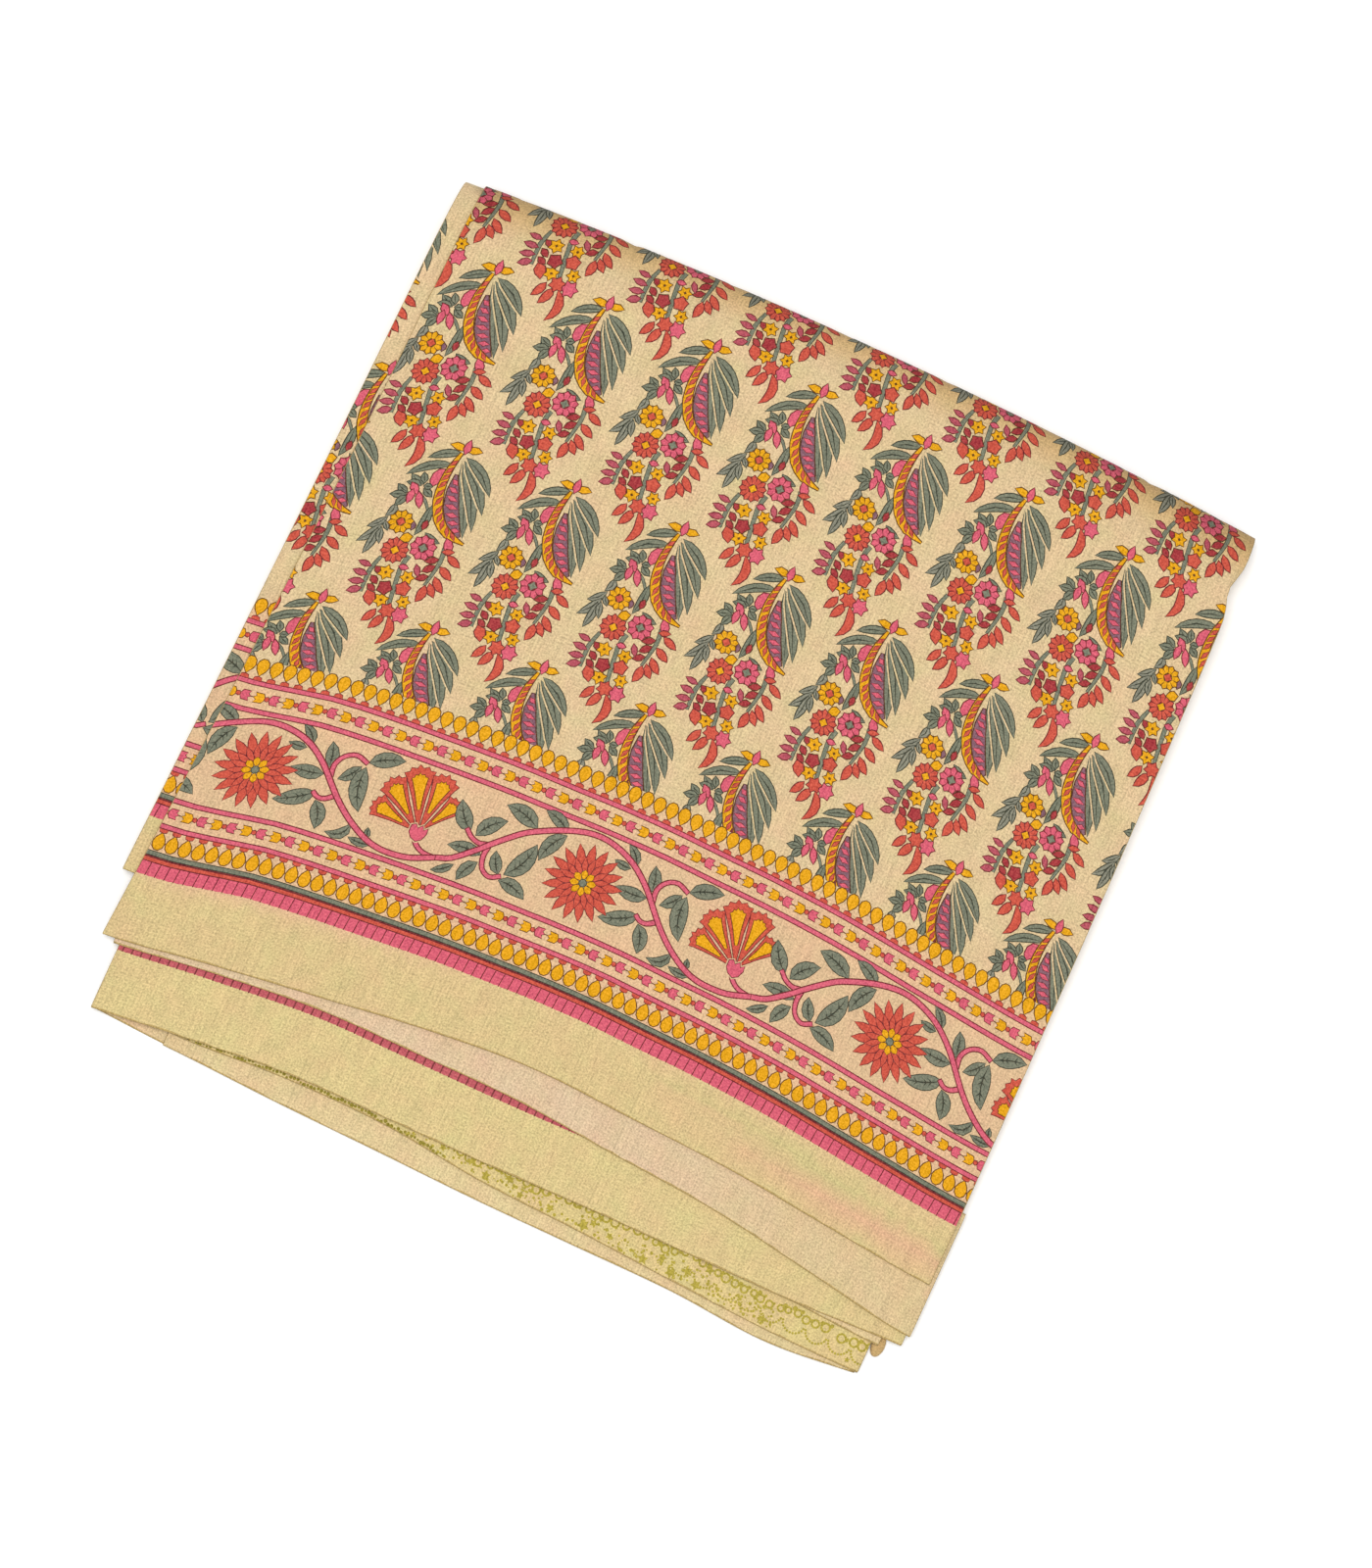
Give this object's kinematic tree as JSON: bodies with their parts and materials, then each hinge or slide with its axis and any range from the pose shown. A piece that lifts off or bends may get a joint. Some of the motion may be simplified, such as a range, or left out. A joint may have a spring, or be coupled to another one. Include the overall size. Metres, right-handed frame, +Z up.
{
  "type": "folded printed saree",
  "caption": "Cotton-silk saree folded into a flat packet, with slanted flower sprigs, a flowering vine border and plain hems fanned out at the front.",
  "frame": {"origin": "on the surface the packet lies on, under the middle of its bounding box", "axes": "+Z up from the surface, +Y from the fanned hems to the thick fold, +X to the right along the fold"},
  "size_m": [0.4143, 0.4322, 0.027],
  "materials": {
    "printed_cloth": "matte, slubby plain weave with a printed pattern",
    "plain_cloth": "matte, slubby plain weave",
    "end_piece_cloth": "matte plain weave with a tone-on-tone printed edging"
  },
  "bodies": {
    "root": {"top_layer": "printed_cloth", "second_layer": "printed_cloth", "folded_core": "plain_cloth", "beige_ply": "plain_cloth", "printed_end": "end_piece_cloth", "plain_ply": "plain_cloth", "lower_border": "printed_cloth", "inner_selvedge": "plain_cloth", "base_ply": "plain_cloth", "fold_end": "plain_cloth"}
  },
  "joints": []
}
